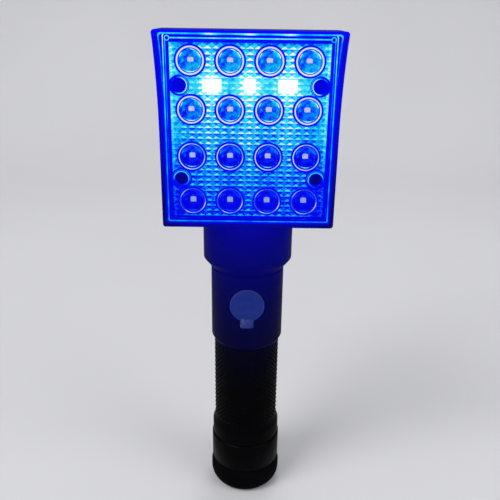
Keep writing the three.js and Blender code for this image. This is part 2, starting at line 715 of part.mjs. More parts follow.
const tailContactTop = cartridgeBase - fit.seat;
const tailContactRadius = tailSpring.radius + tailSpring.wire;
const tailContactBase = tailContactTop - cartridge.contact;
add('tail_contact', disc(tailContactRadius, tailContactBase, tailContactTop, round.inner), 'brass');
add('head_contact', disc(cartridge.contactRadius, headContactBase, headContactBase + cartridge.contact,
  round.inner), 'brass');
const tailSpringTop = tailContactBase - fit.seat;
add('head_spring', spring(headSpring, headSpringBase, discBase - fit.seat), 'brass');
add('tail_spring', spring(tailSpring, capFloor + fit.seat, tailSpringTop), 'steel');
add('tail_cap', tailCap(), 'blackAluminium');
add('tail_seal', seal(cap.spigot, capRing, tubeBase + capRing.land), 'blackRubber');
add('tail_bumper', tailBumper(), 'blackRubber');
add('magnet_pot', magnetPot(), 'steel');
add('magnet', disc(magnet.radius, 0, magnet.height, round.inner), 'magnetNickel');

export default group;
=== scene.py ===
# The magnetic work light dressed for the photograph: lit lamps behind a prismatic cover,
# black moulded head and neck, knurled grip and screw-on magnet tail. Sizes are in millimetres
# and turned into metres by MM.
import bmesh
import bpy
import json
import math
from mathutils import Matrix, Vector


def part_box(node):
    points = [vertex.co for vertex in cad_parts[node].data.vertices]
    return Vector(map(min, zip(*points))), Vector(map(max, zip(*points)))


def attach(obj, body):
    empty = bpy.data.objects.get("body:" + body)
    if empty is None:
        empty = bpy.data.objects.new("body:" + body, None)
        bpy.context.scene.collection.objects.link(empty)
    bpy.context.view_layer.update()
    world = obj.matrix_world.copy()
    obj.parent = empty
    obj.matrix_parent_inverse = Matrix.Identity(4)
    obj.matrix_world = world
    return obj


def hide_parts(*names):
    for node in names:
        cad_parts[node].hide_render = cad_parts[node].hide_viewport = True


MM = 0.001
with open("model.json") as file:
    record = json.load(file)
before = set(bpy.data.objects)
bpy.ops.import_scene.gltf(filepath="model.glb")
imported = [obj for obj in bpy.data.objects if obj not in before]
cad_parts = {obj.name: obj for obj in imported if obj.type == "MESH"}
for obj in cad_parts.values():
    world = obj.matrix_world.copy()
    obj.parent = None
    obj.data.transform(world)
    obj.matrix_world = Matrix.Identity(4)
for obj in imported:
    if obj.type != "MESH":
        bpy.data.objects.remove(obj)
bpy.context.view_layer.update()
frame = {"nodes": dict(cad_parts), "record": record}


def span(node):
    """The lowest and highest corners of a node of the frame, in millimetres."""
    low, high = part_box(node)
    return [value / MM for value in low], [value / MM for value in high]


def places(name, count):
    """Centres, as (x, z), of the numbered nodes of one name."""
    boxes = [span(f"{name}_{number}") for number in range(1, count + 1)]
    return [((low[0] + high[0]) / 2, (low[2] + high[2]) / 2) for low, high in boxes]


# Sizes of the lamp head, from the frame where it has them. PIN is the least radius of a turned face.

HEAD_LOW, HEAD_HIGH = span("head_housing")
TOP, HEAD_BASE = HEAD_HIGH[2], HEAD_LOW[2]
FACE_Y = HEAD_LOW[1]
HEAD_FLARE = 1.6
HEAD_HALF = HEAD_HIGH[0] - HEAD_FLARE
HEAD_HEIGHT = TOP - HEAD_BASE
HEAD_MIDDLE = (TOP + HEAD_BASE) / 2
HEAD_DEPTH = 23.9
BACK_Y = FACE_Y + HEAD_DEPTH
HEAD_CORNER = 1.2
COVER_GAP = 0.3
COVER_LOW, COVER_HIGH = span("lens_plate")
MOUTH_HALF = COVER_HIGH[0] + COVER_GAP
MOUTH_LOW, MOUTH_HIGH = COVER_LOW[2] - COVER_GAP, COVER_HIGH[2] + COVER_GAP
MOUTH_CORNER = 1.0
PLATE_SINK = 2.3
PLATE_Y = FACE_Y + PLATE_SINK
STEP_DROP = 0.8
STEP_Y = PLATE_Y + STEP_DROP
LENS_ROW, SCREW_ROWS = 4, 2
LENS_PLACES = places("white_led", 16)
LENS_PITCH = LENS_PLACES[1][0] - LENS_PLACES[0][0]
BLUE_PLACES = places("blue_led", 3)
SCREW_PLACES = places("lens_screw", 4)
PRISM_COLUMNS, PRISM_ROWS = 19, 32
PRISM_FIELD = (60.6, 67.2)
PRISM_HEIGHT = 0.55
PRISM_TIP = PLATE_Y - PRISM_HEIGHT
SLEEVE_RADIUS = (4.3, 3.95)
LENS_RING = 5.42
LENS_LIP = 0.76
SURROUND = 6.05
PIN = 0.05

# Sizes of the handle

NECK_LOW, NECK_HIGH = span("neck_sleeve")
BODY_LOW, BODY_HIGH = span("switch_body")
NECK_RADIUS = NECK_HIGH[0]
BODY_RADIUS = BODY_HIGH[0]
BUTTON_LOW, BUTTON_HIGH = span("button_cap")
BUTTON_LEVEL = (BUTTON_LOW[2] + BUTTON_HIGH[2]) / 2
BUTTON_RADIUS = 7.65
WINDOW_LOW, WINDOW_HIGH = span("indicator_window")
WINDOW_BITE = 1.25
WINDOW_TOP = BUTTON_LEVEL - BUTTON_RADIUS + WINDOW_BITE
WINDOW_MIDDLE = (WINDOW_LOW[2] + WINDOW_TOP) / 2
GRIP_LOW, GRIP_HIGH = span("grip_tube")
COLLAR_RADIUS = GRIP_HIGH[0]
COLLAR_STEP = 0.95
GRIP_RADIUS = COLLAR_RADIUS - COLLAR_STEP
KNURL_DEPTH = 0.5
CAP_LOW, CAP_HIGH = span("tail_cap")
SEAL_LOW, SEAL_HIGH = span("tail_seal")


# Outlines. CORNERS gives each corner's side in x and in z, and the quarter turns to its start.

CORNERS = ((1, 1, 0), (-1, 1, 1), (-1, -1, 2), (1, -1, 3))


def quarter(steps, first=0):
    """Angles of a quarter turn in even steps."""
    return [math.pi / 2 * i / steps for i in range(first, steps + 1)]


def circle(x, z, radius, steps):
    return [(x + radius * math.cos(turn), z + radius * math.sin(turn))
            for turn in (2 * math.pi * i / steps for i in range(steps))]


def corner(x, z, radius, turn, steps=6):
    """A quarter circle about (x, z) that starts after a number of quarter turns."""
    return [(x + radius * math.cos(angle), z + radius * math.sin(angle))
            for angle in ((turn + i / steps) * math.pi / 2 for i in range(steps + 1))]


def block_outline(low, high, upper, lower):
    """An outline between two (x, z) corners, with one radius for its upper corners and one for its lower."""
    points = []
    for side_x, side_z, turn in CORNERS:
        radius = upper if side_z > 0 else lower
        x, z = (high if side_x > 0 else low)[0], (high if side_z > 0 else low)[1]
        points += corner(x - side_x * radius, z - side_z * radius, radius, turn)
    return points


def rounded(half_at, low, high, radius):
    """Points (x, z) of an outline with round corners. half_at gives its half width at a level."""
    points, corner_steps, side_steps = [], 8, 16
    for side_x, side_z, turn in CORNERS:
        edge = high if side_z > 0 else low
        middle = (side_x * (half_at(edge) - radius), edge - side_z * radius)
        points += corner(*middle, radius, turn, corner_steps)
        if side_x * side_z < 0:
            levels = [edge - side_z * (high - low) * i / side_steps for i in range(1, side_steps)]
            points += [(side_x * half_at(level), level) for level in levels]
    return points


def head_half(level):
    """Half the head's width at a level: straight below, flared out over the upper half."""
    rise = max(0.0, (level - HEAD_MIDDLE) / (HEAD_HEIGHT / 2))
    return HEAD_HALF + HEAD_FLARE * rise * rise


def head_outline(inset):
    least_corner = 0.4
    return rounded(lambda level: head_half(level) - inset, HEAD_BASE + inset, TOP - inset,
                   max(HEAD_CORNER - inset, least_corner))


def mouth_outline(inset):
    """The straight opening that holds the cover."""
    least_corner = 0.3
    return rounded(lambda level: MOUTH_HALF - inset, MOUTH_LOW + inset, MOUTH_HIGH - inset,
                   max(MOUTH_CORNER - inset, least_corner))


def rim_outline(side, top, foot):
    """An outline inside the head's own and flared like it, by its distances at the sides, top and foot."""
    rim_corner = 1.0
    return rounded(lambda level: max(head_half(level) - side, MOUTH_HALF), HEAD_BASE + foot, TOP - top,
                   rim_corner)


def line_outline(side, top, foot):
    """A straight outline on the cover, inside the opening by its distances at the sides, top and foot."""
    line_corner = 0.6
    return rounded(lambda level: MOUTH_HALF - side, MOUTH_LOW + foot, MOUTH_HIGH - top, line_corner)


def off(level, *points):
    """Points of a turned outline by their radii and their distances from a level."""
    return [(radius, level + distance) for radius, distance in points]


# Meshes

def mesh_object(name, points, faces, smooth=True, looks=(), index=None):
    """A piece from points in millimetres, with its faces turned outwards."""
    mesh = bpy.data.meshes.new(name)
    mesh.from_pydata([Vector(point) * MM for point in points], [], faces)
    mesh.validate()
    mesh.update()
    for polygon in mesh.polygons:
        polygon.use_smooth = smooth
    for look in looks:
        mesh.materials.append(look)
    if index:
        for polygon, which in zip(mesh.polygons, index):
            polygon.material_index = which
    shape = bmesh.new()
    shape.from_mesh(mesh)
    bmesh.ops.recalc_face_normals(shape, faces=shape.faces)
    shape.to_mesh(mesh)
    shape.free()
    piece = bpy.data.objects.new(name, mesh)
    bpy.context.collection.objects.link(piece)
    return piece


def sharpen(piece, angle=35):
    """Keeps edges sharp where faces meet at more than the angle, in degrees."""
    piece.data.set_sharp_from_angle(angle=math.radians(angle))
    return piece


def banded(bands, steps, caps=0):
    """A material number for each face: one band number for each row of faces, and 0 for the caps."""
    return [band for band in bands for _ in range(steps)] + [0] * caps


def skin(name, rings, loop=False, **kwargs):
    """A skin through rings of points, closed by caps at both ends or, in a loop, from last to first."""
    rows, count = len(rings), len(rings[0])
    faces = []
    for r in range(rows if loop else rows - 1):
        s = (r + 1) % rows
        for i in range(count):
            j = (i + 1) % count
            faces.append((r * count + i, r * count + j, s * count + j, s * count + i))
    if not loop:
        faces += [tuple(range(r * count, (r + 1) * count)) for r in (0, rows - 1)]
    return sharpen(mesh_object(name, [point for ring in rings for point in ring], faces, **kwargs))


def lathe(name, profile, steps=128, forward=None, **kwargs):
    """Turns [radius, height] points about +Z, or about -Y through forward=(x, z)."""
    if forward is None:
        rings = [[(x, y, level) for x, y in circle(0, 0, radius, steps)] for radius, level in profile]
    else:
        rings = [[(x, level, z) for x, z in circle(*forward, radius, steps)] for radius, level in profile]
    return skin(name, rings, **kwargs)


def loft(name, stations, **kwargs):
    """A skin through outlines of (x, z) points at [y, outline]."""
    return skin(name, [[(x, y, z) for x, z in outline] for y, outline in stations], **kwargs)


def pad(name, ring, centre, layers, **kwargs):
    """A low block over an outline of (x, z) points, through layers at [y, scale about the centre]."""
    u, w = centre
    rings = [[(u + (x - u) * scale, y, w + (z - w) * scale) for x, z in ring] for y, scale in layers]
    return skin(name, rings, **kwargs)


def bar(ring, front, back):
    """Points and faces of a straight bar along Y over an outline of (x, z) points."""
    count = len(ring)
    points = [(x, y, z) for y in (front, back) for x, z in ring]
    faces = [(i, (i + 1) % count, (i + 1) % count + count, i + count) for i in range(count)]
    return points, faces + [tuple(range(count))[::-1], tuple(range(count, 2 * count))]


def carved(piece, bars):
    """Cuts closed bars out of a piece."""
    points, faces = [], []
    for bar_points, bar_faces in bars:
        faces += [tuple(i + len(points) for i in face) for face in bar_faces]
        points += bar_points
    cutter = mesh_object("cutter", points, faces, smooth=False)
    modifier = piece.modifiers.new("cut", "BOOLEAN")
    modifier.operation, modifier.solver, modifier.object = "DIFFERENCE", "EXACT", cutter
    bpy.context.view_layer.update()
    mesh = bpy.data.meshes.new_from_object(piece.evaluated_get(bpy.context.evaluated_depsgraph_get()))
    piece.modifiers.clear()
    piece.data = mesh
    bpy.data.objects.remove(cutter)
    return sharpen(piece)


def drilled(piece, holes):
    """Cuts round holes about Y, each ((x, z), radius), right through a piece."""
    past, steps = 5.0, 48
    return carved(piece, [bar(circle(*place, radius, steps), FACE_Y - past, BACK_Y)
                          for place, radius in holes])


# Materials

class Nodes:
    """A short way to write a material's node tree."""

    def __init__(self, name):
        self.material = bpy.data.materials.new(name)
        self.material.use_nodes = True
        self.tree = self.material.node_tree
        self.shader = self.tree.nodes["Principled BSDF"]

    def add(self, kind, **settings):
        node = self.tree.nodes.new(kind)
        for key, value in settings.items():
            setattr(node, key, value)
        return node

    def link(self, source, target):
        """Joins a socket to another one, or sets it to a number or a colour."""
        if isinstance(source, (int, float)):
            target.default_value = source
        elif isinstance(source, tuple):
            target.default_value = (*source, 1)
        else:
            self.tree.links.new(source, target)

    def math(self, operation, a, b=0.0, c=0.0, clamp=False):
        node = self.add("ShaderNodeMath", operation=operation, use_clamp=clamp)
        for socket, value in zip(node.inputs, (a, b, c)):
            self.link(value, socket)
        return node.outputs[0]

    def minus(self, a, b):
        return self.math("SUBTRACT", a, b)

    def times(self, a, b, clamp=False):
        return self.math("MULTIPLY", a, b, clamp=clamp)

    def scaled(self, value, factor, offset):
        """A value times a factor, plus an offset."""
        return self.math("MULTIPLY_ADD", value, factor, offset)

    def past(self, a, b, slope):
        """How far a is past b, times a slope, kept between 0 and 1."""
        return self.times(self.minus(a, b), slope, clamp=True)

    def blend(self, value, other, share):
        """A value, moved by a share of the way to another."""
        return self.scaled(self.minus(other, value), share, value)

    def limit(self, value, low, high):
        return self.math("MINIMUM", self.math("MAXIMUM", value, low), high)

    def extreme(self, values, operation="MAXIMUM"):
        """The greatest of some values, or the least."""
        result, *others = values
        for value in others:
            result = self.math(operation, result, value)
        return result

    def squares(self, a, b):
        return self.math("ADD", self.times(a, a), self.times(b, b))

    def tilt(self, x, z, level, lean_x, lean_z):
        """A level that leans across and up."""
        return self.scaled(z, lean_z, self.scaled(x, lean_x, level))

    def hill(self, value, spread=1.0):
        """1 where a value is 0, falling off to both sides."""
        return self.math("POWER", math.e, self.times(self.times(value, value), -1 / spread))

    def smooth(self, value, low, high):
        """0 below the low value, 1 above the high one, with a soft step between."""
        node = self.add("ShaderNodeMapRange", interpolation_type="SMOOTHSTEP")
        self.link(value, node.inputs["Value"])
        node.inputs["From Min"].default_value, node.inputs["From Max"].default_value = low, high
        return node.outputs[0]

    def place(self):
        """Object coordinates in millimetres, as x, y and z."""
        coordinate = self.add("ShaderNodeTexCoord")
        scaled = self.add("ShaderNodeVectorMath", operation="SCALE")
        scaled.inputs["Scale"].default_value = 1 / MM
        self.link(coordinate.outputs["Object"], scaled.inputs[0])
        split = self.add("ShaderNodeSeparateXYZ")
        self.link(scaled.outputs[0], split.inputs[0])
        return split.outputs

    def noise(self, scale, detail, roughness=0.55):
        """Noise in object space, with its scale per metre."""
        coordinate = self.add("ShaderNodeTexCoord")
        node = self.add("ShaderNodeTexNoise")
        for name, value in (("Scale", scale), ("Detail", detail), ("Roughness", roughness)):
            node.inputs[name].default_value = value
        self.link(coordinate.outputs["Object"], node.inputs["Vector"])
        return node.outputs[0]

    def wander(self, scale, detail, roughness=0.55, swing=1.0):
        """Noise that swings to both sides of 0."""
        return self.scaled(self.noise(scale, detail, roughness), swing, -swing / 2)

    def ramp(self, value, stops):
        node = self.add("ShaderNodeValToRGB")
        elements = node.color_ramp.elements
        while len(elements) < len(stops):
            elements.new(1.0)
        for element, (position, colour) in zip(elements, stops):
            element.position = position
            element.color = (*colour, 1)
        self.link(value, node.inputs[0])
        return node.outputs[0]

    def mottled(self, scale, detail, dark, light):
        """A colour that wanders between two."""
        return self.ramp(self.noise(scale, detail), [(0.3, dark), (0.7, light)])

    def bump(self, height, strength):
        """Fine relief."""
        depth = 0.1
        node = self.add("ShaderNodeBump")
        node.inputs["Strength"].default_value = strength
        node.inputs["Distance"].default_value = depth * MM
        self.link(height, node.inputs["Height"])
        self.link(node.outputs[0], self.shader.inputs["Normal"])

    def surface(self, base, rough, shine, glow=None, power=1.0):
        """Colour, roughness and shine, and light of the surface's own where a glow is given."""
        for name, value in (("Base Color", base), ("Roughness", rough), ("Specular IOR Level", shine)):
            self.link(value, self.shader.inputs[name])
        if glow is not None:
            self.link(glow, self.shader.inputs["Emission Color"])
            self.shader.inputs["Emission Strength"].default_value = power
        return self.material

    def lamp_squares(self):
        """Squared distances across the cover to the three blue lamps."""
        x, _, z = self.place()
        return [self.squares(self.minus(x, u), self.minus(z, w)) for u, w in BLUE_PLACES]

    def lamp_distance(self):
        """Distance to the nearest blue lamp across the cover, in millimetres."""
        return self.extreme([self.math("SQRT", square) for square in self.lamp_squares()], "MINIMUM")

    def lamp_field(self, reach):
        """Light of the three blue lamps at a point: 1 beside a lamp, falling with the distance."""
        weaker = [self.math("DIVIDE", square, reach * reach) for square in self.lamp_squares()]
        return self.extreme([self.math("DIVIDE", 1.0, self.math("ADD", 1.0, value)) for value in weaker])


def shaded(colour, share):
    return tuple(value * share for value in colour)


def plastic(name, colour, rough, grain=900, grain_depth=0.15, coat=0.0, shine=0.5, glow=None):
    """Moulded plastic, a little uneven in gloss and colour. glow is the strength of the lamps' light on it,
    the depth where that light ends and the length that it fades over."""
    n = Nodes(name)
    uneven = 0.22
    gloss = n.scaled(n.noise(260, 5), uneven, rough - uneven / 2)
    n.bump(n.noise(grain, 4), grain_depth)
    n.shader.inputs["Coat Weight"].default_value = coat
    base = n.mottled(60, 4, shaded(colour, 0.7), shaded(colour, 1.3))
    return n.surface(base, gloss, shine, lamp_glow(n, *glow) if glow else None)


# The lamps' light on the black parts: full over GLOW_LEVEL, falling below it and gone between two heights.
# GLOW_RISE and FLANK_FADE are heights over GLOW_LEVEL, and TOP_BAND is measured down from the head's top.

GLOW_LEVEL = 142.0
GLOW_FALL = 23.0
GLOW_END = (50.0, 76.0)
GLOW_RISE = (8.0, 53.0)
FLANK_START, FLANK_WIDTH = 24.0, 8.0
FLANK_FADE = (3.0, 38.0)
TOP_BAND = (2.5, 1.2)


def lamp_glow(n, strength, back, depth):
    """Blue light of the lamps on the front, fading towards the back and down the handle."""
    x, y, z = n.place()
    below = n.math("MAXIMUM", n.minus(GLOW_LEVEL, z), 0.0)
    fall = n.math("POWER", math.e, n.math("DIVIDE", below, -GLOW_FALL))
    rise = n.scaled(n.smooth(z, *[GLOW_LEVEL + level for level in GLOW_RISE]), 1.1, 0.9)
    fade = n.minus(1.0, n.smooth(z, *[GLOW_LEVEL + level for level in FLANK_FADE]))
    flank = n.times(n.past(n.math("ABSOLUTE", x), FLANK_START, 1 / FLANK_WIDTH), fade)
    rise = n.scaled(flank, -0.45, rise)
    rise = n.scaled(n.smooth(z, *[TOP - drop for drop in TOP_BAND]), 0.9, rise)
    front = n.times(n.past(back, y, 1 / depth), n.smooth(z, *GLOW_END))
    amount = n.times(n.times(fall, rise), front)
    cloud = n.scaled(n.noise(45, 3), 0.3, 0.85)
    amount = n.times(n.times(amount, cloud), 0.34 * strength, clamp=True)
    blues = [(0.0, (0.0, 0.0, 0.0)), (0.3, (0.0004, 0.0004, 0.3)), (1.0, (0.0005, 0.001, 1.0))]
    return n.ramp(amount, blues)


BLUES = [(0.0, (0.0, 0.0, 0.62)), (0.1, (0.0, 0.0015, 0.9)), (0.25, (0.0, 0.06, 0.92)),
         (0.4, (0.001, 0.21, 0.9)), (0.55, (0.004, 0.43, 0.9)), (0.7, (0.025, 0.68, 0.89)),
         (0.85, (0.13, 0.86, 0.9)), (0.95, (0.45, 0.94, 0.96)), (1.0, (1.0, 1.0, 1.0))]
GLOSSY, SOFTER = 0.12, 0.15


def lit_shader(n, value, gloss=GLOSSY):
    """Clear plastic lit from inside: its own blue light under a glossy surface."""
    return n.surface((0.001, 0.002, 0.02), gloss, 0.02, n.ramp(value, BLUES))


# How the lamps' light spreads over the prisms: distances from the lamps, then the borders left and right
# of the lenses, then half the size of the white squares before the lamps

SPREAD = 88.0
LAMP_NEAR = (9.0, 20.0)
LAMP_ROW = (1.8, 4.6)
LAMP_SPOT = 3.4
BORDER_START, BORDER_WIDTH = 23.5, 4.0
BORDER_STRIP = 1.3
BORDER_LEVELS = (150.0, 185.0)
SPOT_HALVES = ((2.75, 1.85), (1.55, 2.0), (2.75, 1.85))


def prism_material():
    """Facets that look down towards the table catch the lamps, and those that look up stay deep blue."""
    n = Nodes("lit_prisms")
    split = n.add("ShaderNodeSeparateXYZ")
    n.link(n.add("ShaderNodeNewGeometry").outputs["Normal"], split.inputs[0])
    side = n.math("GREATER_THAN", n.math("ABSOLUTE", split.outputs[0]), 0.15)
    up = n.math("GREATER_THAN", split.outputs[2], 0.2)
    shade = n.math("ADD", n.times(side, 0.36), n.times(up, 0.6))
    light = prism_light(n)
    sparkle = n.wander(700, 3, 0.7)
    value = n.math("ADD", n.minus(light, shade), sparkle)
    x, _, z = n.place()
    across = n.math("ABSOLUTE", x)
    calm = n.math("ADD", n.times(sparkle, 1.1), n.minus(light, 0.25))
    calm = n.scaled(n.past(across, PRISM_FIELD[0] / 2 - BORDER_STRIP, 2.0), 0.22, calm)
    calm = n.math("ADD", calm, n.scaled(n.smooth(z, *BORDER_LEVELS), 0.24, -0.24))
    calm = n.scaled(shade, -0.25, calm)
    value = n.blend(value, calm, n.times(n.past(across, BORDER_START, 1 / BORDER_WIDTH), 0.8))
    away = n.math("ABSOLUTE", n.minus(z, BLUE_PLACES[0][1]))
    veil = n.minus(1.0, n.smooth(away, *LAMP_ROW))
    haze = n.scaled(n.lamp_field(LAMP_SPOT), 0.36, 0.66)
    haze = n.scaled(sparkle, 0.7, n.scaled(shade, -0.12, haze))
    value = n.math("MINIMUM", n.blend(value, haze, n.times(veil, 0.7)), 0.97)
    value = n.scaled(spot_field(n), 1.25, value)
    value = n.scaled(n.lamp_field(LAMP_SPOT), 0.3, value)
    return lit_shader(n, n.limit(value, 0.06, 1.0), SOFTER)


def prism_light(n):
    """Light over the prisms: weaker far from the lamps and stronger between the columns of lenses."""
    x, _, _ = n.place()
    distance = n.lamp_distance()
    light = n.scaled(distance, -1.02 / SPREAD, 1.09)
    column = n.math("COSINE", n.times(x, 2 * math.pi / LENS_PITCH))
    light = n.scaled(column, n.scaled(distance, -0.0015, 0.1), light)
    return n.math("ADD", light, n.scaled(n.smooth(distance, *LAMP_NEAR), 0.05, -0.045))


def spot_field(n):
    """White squares where the prisms spread each lit lamp."""
    x, _, z = n.place()
    spots = []
    for (u, w), half in zip(BLUE_PLACES, SPOT_HALVES):
        dx = n.math("DIVIDE", n.math("ABSOLUTE", n.minus(x, u)), half[0])
        dz = n.math("DIVIDE", n.math("ABSOLUTE", n.minus(z, w)), half[1])
        spots.append(n.past(1.38, n.math("MAXIMUM", dx, dz), 1.9))
    return n.extreme(spots)


def field_material(name, scale, offset, wobble):
    """Lit clear plastic whose brightness is offset + scale x the lamp field, a little uneven."""
    n = Nodes(name)
    reach = 24.0
    cloud = n.scaled(n.noise(260, 3), wobble, 1 - wobble / 2)
    value = n.scaled(n.lamp_field(reach), scale, offset)
    return lit_shader(n, n.math("MINIMUM", n.times(value, cloud), 1.0))


def lens_place(n):
    """Distance from the lens's own centre in millimetres, with its x and z."""
    x, _, z = n.place()
    return n.math("SQRT", n.squares(x, z)), x, z


def band(n, radius, middle, half, soft=0.07):
    """1 within half of a middle radius, falling to 0 over a soft edge."""
    return n.past(half, n.math("ABSOLUTE", n.minus(radius, middle)), 1 / soft)


def lip_material(row):
    """The rim of a lens with the lamps' light painted on: pale, broad and nearly white in the upper rows, a
    thin broken line below.
    """
    n = Nodes(f"lens_lip_{row}")
    radius, x, z = lens_place(n)
    middle, half = ((5.05, 0.15), (5.05, 0.18), (4.95, 0.3), (4.93, 0.34))[row]
    leans = ((0.55, 0.0, -0.09), (0.8, -0.06, -0.03), (0.9, -0.01, -0.012), (0.94, -0.01, -0.012))
    swing, shift = ((4.2, -2.05), (1.3, -0.58), (0.5, -0.25), (0.4, -0.2))[row]
    uneven = n.scaled(n.noise(240, 3), swing, shift)
    light = n.math("MAXIMUM", n.math("ADD", n.tilt(x, z, *leans[row]), uneven), 0.12)
    value = n.times(band(n, radius, middle, half), light, clamp=True)
    pale = n.ramp(value, [(0.0, (0.0, 0.002, 0.7)), (0.3, (0.03, 0.2, 0.85)), (0.55, (0.36, 0.5, 0.93)),
                          (0.8, (0.64, 0.7, 0.96)), (1.0, (0.8, 0.82, 1.0))])
    return n.surface((0.01, 0.02, 0.08), 0.2, 0.05, pale, 0.95)


def bowl_material(row):
    """The inside of a lens: brighter towards the lit lamps, with broken bright arcs near its edge."""
    n = Nodes(f"lens_bowl_{row}")
    radius, x, z = lens_place(n)
    arc_radius, arc_half = 4.12, 0.15
    wall_radius, wall_half, wall_soft = 4.52, 0.22, 0.08
    leans = ((0.04, 0.003, 0.015), (0.12, 0.01, 0.04), (0.36, 0.03, 0.02), (0.45, 0.03, -0.006))
    core, speckle = ((0.08, 0.35), (0.0, 0.6), (-0.12, 0.75), (-0.14, 0.75))[row]
    value = n.scaled(n.hill(radius, 5), core, n.tilt(x, z, *leans[row]))
    value = n.scaled(n.math("ADD", n.wander(330, 2, 0.4), n.wander(900, 2)), speckle, value)
    arc_leans = ((0.16, 0.0, -0.03), (0.34, -0.06, -0.12), (0.55, -0.02, -0.03), (0.55, -0.02, 0.0))
    arc_light = n.math("MAXIMUM", n.tilt(x, z, *arc_leans[row]), 0.0)
    broken = n.past(n.noise(330, 2, 0.4), 0.44, 8.0)
    arc = n.times(band(n, radius, arc_radius, arc_half), broken)
    value = n.scaled(arc, arc_light, value)
    wall = band(n, radius, wall_radius, wall_half, wall_soft)
    value = n.blend(value, 0.1, n.times(wall, 0.9))
    return lit_shader(n, n.limit(value, 0.03, 1.0), SOFTER)


def sleeve_material(row, side):
    """Clear sleeve round a screw, with broken bright arcs on the side that faces the lamps."""
    n = Nodes(f"screw_sleeve_{row}_{'left' if side > 0 else 'right'}")
    radius, x, z = lens_place(n)
    inner_radius, inner_half = 2.98, 0.2
    outer_radius, outer_half = 3.6, 0.1
    lean_x, lean_z = ((0.1, 0.26), (0.3, 0.06))[row]
    inner_light, outer_light = ((0.66, 0.55), (0.86, 0.75))[row]
    facing = n.tilt(x, z, 0.0, lean_x * side, lean_z)
    uneven = n.scaled(n.noise(300, 2, 0.4), 2.2, -0.55)
    inner = n.times(band(n, radius, inner_radius, inner_half), n.math("ADD", facing, uneven))
    bright = n.times(inner, 1.3, clamp=True)
    outer = band(n, radius, outer_radius, outer_half)
    faint = n.times(outer, n.scaled(uneven, 0.6, facing), clamp=True)
    value = n.math("MAXIMUM", n.scaled(bright, inner_light, 0.08), n.times(faint, outer_light))
    return lit_shader(n, n.math("MINIMUM", value, 0.97), SOFTER)


def screw_material(row):
    """Dark screw head under the cover, washed with deep blue light."""
    n = Nodes(f"dark_screw_{row}")
    deep = ((0.0, 0.0, 0.24), (0.0, 0.0, 0.76))[row]
    return n.surface((0.001, 0.001, 0.01), 0.45, 0.02, n.mottled(500, 3, shaded(deep, 0.85), deep))


def surround_material(row):
    """Deep blue shoulder round a lens, with a thin lit line where it meets the prisms."""
    n = Nodes(f"lens_surround_{row}")
    radius, _, _ = lens_place(n)
    past_edge, half, soft = 0.02, 0.14, 0.12
    uneven = n.scaled(n.noise(240, 3), 1.0, -0.05)
    line = n.times(band(n, radius, SURROUND + past_edge, half, soft), uneven)
    return lit_shader(n, n.scaled(line, (0.35, 0.45, 0.55, 0.5)[row], 0.09))


# Lit edges: how far the light of the opening's top and foot reaches into it, how sharply it starts, and
# the width of a patch in line with a lamp

CREST_DROP, FOOT_RISE, EDGE_SLOPE = 2.6, 1.6, 2.0
CORNER_CUT = 0.6
PATCH_WIDTH = 3.4


def edge_material(name, top, patch, side, foot, flare=0.0, corners=False):
    """A lit edge: values for its top, its patches in line with the lamps, its sides and its foot. flare, if
    given, is the value of the sides' lower half, and corners keeps the top's light off the two corners."""
    n = Nodes(name)
    x, _, z = n.place()
    height = n.past(z, HEAD_BASE, 1 / HEAD_HEIGHT)
    crest = n.past(z, MOUTH_HIGH - CREST_DROP, EDGE_SLOPE)
    low = n.past(MOUTH_LOW + FOOT_RISE, z, EDGE_SLOPE)
    if flare:
        rise = n.math("MAXIMUM", n.scaled(height, 2.0, -1.0), 0.0)
        value = n.scaled(n.math("POWER", rise, 3.0), side - flare, flare)
    else:
        dip = 0.72 * foot
        value = n.scaled(n.math("POWER", height, 1.6), side - dip, dip)
    if corners:
        crest = n.times(crest, n.math("LESS_THAN", n.math("ABSOLUTE", x), MOUTH_HALF - CORNER_CUT))
    patches = n.extreme([n.hill(n.math("DIVIDE", n.minus(x, u), PATCH_WIDTH)) for u, _ in BLUE_PLACES])
    crown = n.scaled(patches, patch - top, top)
    value = n.blend(n.blend(value, crown, crest), foot, low)
    value = n.scaled(n.wander(170, 4, 0.6), 0.9, value)
    return lit_shader(n, n.limit(value, 0.04, 0.97))


def chip_material(row):
    """Lamp chip, not lit, whose pale lilac glow is painted light, duller in the lower rows."""
    n = Nodes(f"painted_light_chip_{row}")
    pale = ((0.28, 0.37, 0.66), (0.44, 0.51, 0.8), (0.6, 0.6, 0.86), (0.62, 0.61, 0.88))[row]
    return n.surface((0.06, 0.06, 0.1), 0.4, 0.1, n.mottled(900, 3, shaded(pale, 0.72), pale), 0.95)


def metal(name, colour, rough):
    """Finely brushed metal."""
    n = Nodes(name)
    brushed, uneven, shine = 500, 0.2, 0.5
    gloss = n.scaled(n.noise(brushed * 1.7, 4), uneven, rough - uneven / 2)
    n.shader.inputs["Metallic"].default_value = 1.0
    n.bump(n.noise(brushed * 3, 3), 0.05)
    return n.surface(n.mottled(brushed, 5, shaded(colour, 0.8), colour), gloss, shine)


def button_material():
    """Pale silicone whose blue colour is painted blue light, with a faint violet line round its edge."""
    n = Nodes("pale_button")
    line, slope = 0.75, 2.2
    x, _, z = n.place()
    radius = n.math("SQRT", n.squares(x, n.minus(z, BUTTON_LEVEL)))
    cloud = n.times(n.noise(300, 4, 0.6), 0.6)
    value = n.scaled(n.past(radius, BUTTON_RADIUS - line, slope), 0.26, cloud)
    blues = [(0.15, (0.009, 0.026, 0.2)), (0.4, (0.016, 0.032, 0.2)), (0.95, (0.05, 0.045, 0.26))]
    n.bump(n.noise(500, 4), 0.15)
    return n.surface(n.ramp(value, blues), 0.6, 0.02)


